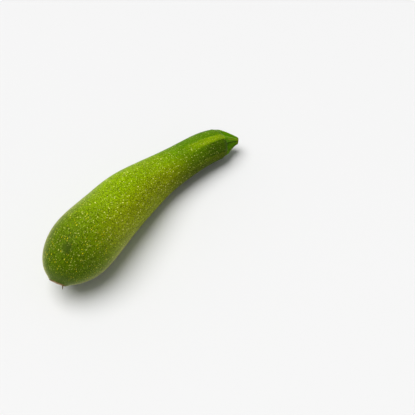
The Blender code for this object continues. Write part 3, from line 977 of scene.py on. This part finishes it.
def stalk_colour(finish, place, crest):
    """The stem's green, darker in the grooves partly as painted shade, with a yellow line along either side
    of each ridge's crest that is partly painted highlight, and fibres along it.
    """
    # Darker in the grooves, partly painted shade.
    colour = finish.blend(finish.ramp(crest, 0.00, 0.45), STALK_GROOVE_AND_SHADE_GREEN, STALK_RIDGE_GREEN)
    # The lines beside each crest are partly painted highlight.
    line = finish.ramp(finish.maths("ABSOLUTE", crest - 0.90), 0.09, 0.02)
    colour = finish.blend(line * 0.85, colour, STALK_LINE_AND_HIGHLIGHT_YELLOW)
    fibres = finish.streaks(place, 0.0007, 14.0) * 0.30
    return finish.shade(colour, fibres + finish.mottle(place, 0.0012) * 0.42)


def on_side(finish, side, low, high):
    """From 0 to 1 towards one side of the fruit. Low and high are cosines of the turn away from it."""
    return finish.ramp(finish.maths("DOT_PRODUCT", finish.read("around"), side), low, high)


def paint_greens(finish, share):
    """Deep green at the blossom end, lime on the flank and fresh on the neck; olive on one side as painted
    light bounced onto it, painted shade under the neck and a paler painted sheen on the belly's far side."""
    finish.colour = finish.blend(finish.ramp(share, 0.02, 0.34), BLOSSOM_END_GREEN, FLANK_GREEN)
    finish.paint(finish.ramp(share, 0.58, 0.80), NECK_GREEN)
    # An olive tint on one side: painted light, standing in for bounced yellow light.
    olive = on_side(finish, (math.cos(BOUNCED_LIGHT_TURN), math.sin(BOUNCED_LIGHT_TURN), 0.0), 0.20, 0.95)
    olive = olive * finish.ramp(share, 0.08, 0.30) * finish.ramp(share, 0.85, 0.60, 0.15, 1.0)
    finish.paint(olive * 0.75, BOUNCED_LIGHT_OLIVE)
    # Painted shade under the neck.
    under = on_side(finish, SHADED_UNDER_SIDE, -0.35, 0.55) * finish.ramp(share, 0.45, 0.80)
    finish.paint(under * 0.8, UNDER_SHADE_GREEN)
    # A paler painted sheen on the belly's far side.
    pale = on_side(finish, (math.cos(PAINTED_SHEEN_TURN), math.sin(PAINTED_SHEEN_TURN), 0.0), -0.70, 0.0)
    finish.paint(pale * 0.40 * finish.ramp(share, 0.58, 0.16), PAINTED_SHEEN_PALE)


def paint_neck(finish, place, painted_light_top):
    """The pale bands along the neck's ribs and the dark facets between them, with painted shade that
    deepens the facets away from the top, along each facet's edge and in the seam round the stem.
    """
    patches = finish.ramp(finish.mottle(place, 0.0032, 1.8), -0.9, 0.5, 0.25, 1.0)
    band = finish.number("band") * on_side(finish, UPPER_SIDE, 0.1, 0.8) * patches
    finish.paint(band * 0.9, BAND_GREEN)
    # The facets' own dark green, deepened away from the top as painted shade.
    finish.paint(finish.number("facet") * (0.85 - painted_light_top * 0.65), FACET_GREEN)
    # Painted shade in the crease along each facet's edge, less at the top.
    finish.paint(finish.number("edge") * (0.7 - painted_light_top * 0.5), FACET_EDGE_SHADE_GREEN)
    # Painted shade in the seam round the stem.
    finish.paint(finish.number("seam") * 0.85, SEAM_SHADE_GREEN)


def paint_tissue(finish, place, share, rows, painted_light_top):
    """Lighter and darker tissue, and its grain, which is coarsest on the flank; the top of the flank is
    lighter as painted light.
    """
    coarse = 0.85 + finish.ramp(share, 0.10, 0.35) * finish.ramp(share, 0.75, 0.60) * 0.50
    tissue = finish.mottle(place, 0.020) * 0.08 + finish.mottle(place, 0.0055, 1.6) * 0.12 + rows * 0.15
    tissue = tissue + finish.mottle(place, 0.0026, 1.4) * 0.14 + finish.mottle(place, 0.0008, 1.3) * coarse
    tissue = tissue + finish.streaks(place, 0.0009, 3.5) * 0.26
    # The top of the flank made lighter: painted light.
    finish.colour = finish.shade(finish.colour, tissue + painted_light_top * 0.10 * finish.ramp(share, 0.15, 0.35))


def paint_specks(finish, place, share, rows):
    """Pale specks in rough rows, and golden dashes towards the blossom end. Gives where the specks are."""
    flank = finish.ramp(share, 0.06, 0.30)
    in_row = finish.ramp(rows, -0.5, 0.4, 0.35, 1.0) * finish.ramp(share, 0.90, 0.66, 0.45, 1.0)
    large, kind = finish.flecks(place, 0.0026, 0.26, 1.2, 0.45)
    large = large * (0.80 + kind * 0.20) * in_row
    finish.paint(large * (0.25 + flank * 0.75), SPECK_CREAM)
    small, kind = finish.flecks(place, 0.0012, 0.32, 1.2, 0.60)
    small = small * (0.30 + kind * 0.70) * in_row * (0.65 + flank * 0.35)
    finish.paint(small, SPECK_CREAM)
    dashes, kind = finish.flecks(place, 0.0016, 0.25, 2.0, 0.60)
    dashes = dashes * (0.45 + kind * 0.55) * finish.ramp(share, 0.42, 0.16)
    finish.paint(dashes, finish.blend(finish.ramp(kind, 0.15, 0.3), SPECK_CREAM, DASH_GOLD))
    return large, small


def paint_ends(finish, place):
    """A darker patch in the dent, a blue-grey bloom round the scar, and the stem's feet on the shoulder."""
    dent_dark = finish.ramp(finish.maths("DISTANCE", place, dent_place()), DENT_RADIUS * 1.1, 0.001)
    finish.paint(dent_dark * 0.65, DENT_DARK_GREEN)
    _, _, over = finish.split(place)
    bloom = finish.ramp(over + finish.mottle(place, 0.006) * 0.0015, 0.022, 0.009)
    finish.paint(bloom * 0.55, BLOOM_GREY)
    finish.paint(finish.number("foot") * 0.8, stalk_colour(finish, place, 0.8))


def skin_finish():
    """Green skin with pale specks, waxy on the belly and at the blossom end alone."""
    finish = Finish("skin", Specular_IOR_Level=0.02, Sheen_Roughness=0.32, Sheen_Tint=WAX_TINT)
    place = finish.read("place")
    share = finish.number("share")
    # The top, where the skin gets painted light and less painted shade.
    painted_light_top = on_side(finish, PAINTED_LIGHT_TOP_SIDE, 0.60, 0.95)
    rows = finish.streaks(place, 0.0022, 14.0)
    paint_greens(finish, share)
    paint_neck(finish, place, painted_light_top)
    paint_tissue(finish, place, share, rows, painted_light_top)
    large, small = paint_specks(finish, place, share, rows)
    paint_ends(finish, place)
    waxy = finish.ramp(share, 0.44, 0.22) * 0.80
    roughness = 0.42 + finish.mottle(place, 0.004) * 0.05 + small * 0.06
    height = finish.mottle(place, 0.0011) * 0.5 + finish.mottle(place, 0.0004) * 0.25
    normal = finish.bump(height + (large + small) * 0.4, 0.00005)
    return finish.use(Base_Color=finish.colour, Roughness=roughness, Sheen_Weight=waxy, Normal=normal)


def stem_finish():
    finish = Finish("stem", Specular_IOR_Level=0.02)
    place = finish.read("place")
    face = finish.read("face")
    up = finish.number("up")
    cut = finish.ramp(finish.number("cut"), 0.2, 0.9)
    x, y, _ = finish.split(place)

    # Painted shade beneath and in the folds, with yellow dots, and dried near the cut
    finish.colour = stalk_colour(finish, place, finish.number("crest"))
    # Painted shade under the stem.
    under = finish.ramp(y * 0.6 - x, 0.0030, 0.0085)
    finish.paint(under * 0.80, STALK_UNDER_SHADE_GREEN)
    # Painted shade in the fold under each ridge.
    fold = finish.number("fold") * finish.ramp(y, 0.0, 0.006)
    finish.paint(fold * 0.9, STALK_FOLD_SHADE_GREEN)
    dots, _ = finish.flecks(place, 0.0015, 0.26, 1.3, 0.6)
    finish.paint(dots * 0.7, STALK_DOT_YELLOW)
    finish.paint(finish.ramp(up, 0.80, 1.02) * 0.55, STALK_DRIED_BROWN)

    # The cut face: pale pith, a ring of vessels and a dried brown edge
    out_from = finish.maths("LENGTH", face)
    pith = finish.shade(PITH_CREAM, finish.mottle(face, 0.12) * 0.16)
    ring = finish.ramp(finish.maths("ABSOLUTE", out_from - 0.55), 0.14, 0.03)
    vessels, _ = finish.flecks(face, 0.21, 0.30, 1.0, 0.3)
    pith = finish.blend(ring * vessels * 0.8, pith, VESSEL_GREEN)
    pith = finish.blend(finish.ramp(out_from, 0.70, 0.88), pith, CUT_EDGE_BROWN)
    finish.paint(cut, pith)

    height = finish.streaks(place, 0.0005, 14.0) * 0.5 + finish.mottle(place, 0.0009) * 0.4
    roughness = 0.52 + cut * 0.25 + finish.mottle(place, 0.002) * 0.04
    return finish.use(Base_Color=finish.colour, Roughness=roughness, Normal=finish.bump(height, 0.00008))


def cork_finish():
    """Dry cork for the scar, darker at its rim, and darker still out along the wisp."""
    finish = Finish("cork", Specular_IOR_Level=0.2)
    spoke = finish.read("spoke")
    share = finish.number("share")
    grain = finish.streaks(spoke, SCAR_FIBRE_SPACING, 4.0)
    crumbs = finish.mottle(spoke, 0.05)
    finish.colour = finish.blend(finish.ramp(share, 0.15, 0.75), CORK_MIDDLE_TAN, CORK_TAN)
    finish.paint(finish.ramp(share, 0.78, 1.0), CORK_RIM_BROWN)
    finish.paint(finish.ramp(share, 1.02, 1.25), WISP_BROWN)
    finish.colour = finish.shade(finish.colour, grain * 0.28 + crumbs * 0.15)
    normal = finish.bump(grain * 0.6 + crumbs * 0.4, 0.0001)
    return finish.use(Base_Color=finish.colour, Roughness=0.82 + crumbs * 0.06, Normal=normal)


def bristle_finish():
    finish = Finish("bristles", Roughness=0.5, Specular_IOR_Level=0.02)
    tissue = finish.noise(finish.out(finish.add("ShaderNodeTexCoord"), "Object"), 0.002)
    return finish.use(Base_Color=finish.blend(tissue, *BRISTLE_GREENS))


def floor_finish():
    finish = Finish("floor_paper", Roughness=0.7, Specular_IOR_Level=0.2)
    tone = finish.noise(finish.out(finish.add("ShaderNodeTexCoord"), "Object"), 0.6, detail=1.0)
    white = (FLOOR_WHITE, FLOOR_WHITE, FLOOR_WHITE)
    return finish.use(Base_Color=finish.shade(white, (tone - 0.5) * 0.01))


# The pieces
def sweep_piece(name, tree, stations, finish, sides):
    return grow(name, tree, spine(name + "_spine", stations), finish, Rings=len(stations), Sides=sides)


def make_pieces():
    """The zucchini's pieces, in the frame of its own axis."""
    cork = cork_finish()
    skin = sweep_piece("zucchini_skin", skin_tree(), fruit_stations(), skin_finish(), SKIN_SIDES)
    stem = sweep_piece("ridged_stem", stem_tree(), stem_stations(), stem_finish(), STEM_SIDES)
    scar = sweep_piece("scar_disc", scar_tree(), scar_stations(), cork, SCAR_SIDES)
    wisp = sweep_piece("dried_wisp", wisp_tree(), wisp_stations(), cork, WISP_SIDES)
    bristles = grow("stem_bristles", bristle_tree(), stem_side(stem), bristle_finish())
    return skin, stem, scar, wisp, bristles


def stem_side(stem):
    """A copy of the stem's own surface, without its cut face and its foot, for the bristles to stand on."""
    mesh = stem.data.copy()
    cut = mesh.attributes["cut"].data
    up = mesh.attributes["up"].data
    shape = bmesh.new()
    shape.from_mesh(mesh)
    gone = [
        vertex
        for vertex in shape.verts
        if cut[vertex.index].value > 0.0 or up[vertex.index].value < BRISTLES_FROM
    ]
    bmesh.ops.delete(shape, geom=gone, context="VERTS")
    shape.to_mesh(mesh)
    shape.free()
    return mesh


def box_of(mesh):
    corners = np.array([vertex.co for vertex in mesh.vertices])
    return Vector(corners.min(axis=0)), Vector(corners.max(axis=0))


def set_in_frame(skin, pieces):
    """Moves the pieces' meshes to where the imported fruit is, which is over the same floor.

    Lengthwise they line up at the shoulder, because the collar round the scar is the skin's alone.
    """
    low, high = box_of(skin.data)
    packed_low, packed_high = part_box("fruit")
    shift = (packed_low + packed_high - low - high) / 2
    shift.x = packed_high.x - high.x
    shift.z = 0.0
    for piece in pieces:
        for vertex in piece.data.vertices:
            vertex.co = vertex.co + shift


def make_floor():
    bpy.ops.mesh.primitive_circle_add(vertices=96, radius=FLOOR_RADIUS, fill_type="NGON")
    floor = bpy.context.object
    floor.name = "floor"
    floor.data.materials.append(floor_finish())


def stand(name, data, location, facing):
    """Puts a light or a camera in the scene, turned to face this way."""
    thing = bpy.data.objects.new(name, data)
    bpy.context.scene.collection.objects.link(thing)
    thing.location = location
    thing.rotation_mode = "QUATERNION"
    thing.rotation_quaternion = facing.to_track_quat("-Z", "Y")
    return thing


def make_light():
    """A soft key from above, a little behind and to the left, and a pale surround that is lighter low down.

    The key is far and wide, so the floor is as bright near the horizon as by the zucchini.
    """
    key = bpy.data.lights.new("key", "SUN")
    key.angle = KEY_WIDTH
    key.energy = KEY_POWER
    away = Vector(KEY_FROM).normalized()
    stand("key", key, away, -away)

    world = bpy.data.worlds.new("surround")
    bpy.context.scene.world = world
    world.use_nodes = True
    nodes = Nodes(world.node_tree)
    background = world.node_tree.nodes["Background"]
    seen = nodes.out(nodes.add("ShaderNodeLightPath"), "Is Camera Ray")
    _, _, up = nodes.split(nodes.out(nodes.add("ShaderNodeTexCoord"), "Generated"))
    around = nodes.ramp(up, 0.0, 0.7, SURROUND_LOW, SURROUND_HIGH)
    strength = around + (SURROUND_SEEN - around) * seen
    world.node_tree.links.new(strength.socket, background.inputs["Strength"])
    background.inputs["Color"].default_value = (1.0, 1.0, 1.0, 1.0)
    bpy.context.scene.view_settings.view_transform = "Standard"


def make_camera():
    data = bpy.data.cameras.new("camera")
    data.lens = CAMERA_LENS
    flat = math.cos(CAMERA_ELEVATION)
    back = Vector(
        (math.sin(CAMERA_AZIMUTH) * flat, -math.cos(CAMERA_AZIMUTH) * flat, math.sin(CAMERA_ELEVATION))
    )
    bpy.context.scene.camera = stand("camera", data, CAMERA_AIM + back * CAMERA_DISTANCE, -back)


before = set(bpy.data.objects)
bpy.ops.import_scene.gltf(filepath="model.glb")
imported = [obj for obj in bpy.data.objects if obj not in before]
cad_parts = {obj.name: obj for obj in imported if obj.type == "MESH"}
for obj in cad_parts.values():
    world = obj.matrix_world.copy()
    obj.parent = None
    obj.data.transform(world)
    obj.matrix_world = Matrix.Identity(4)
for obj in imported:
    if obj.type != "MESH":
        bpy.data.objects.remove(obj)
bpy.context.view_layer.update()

skin, stem, scar, wisp, bristles = make_pieces()
set_in_frame(skin, (skin, stem, scar, wisp, bristles))
for piece, node, slot in (
    (skin, "fruit", "skin"),
    (stem, "stem", "stem"),
    (scar, "blossom_scar", "cork"),
    (wisp, "blossom_scar", "cork"),
    (bristles, "stem", "stem"),
):
    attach(piece, "root")
    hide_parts(node)

make_floor()
make_light()
make_camera()
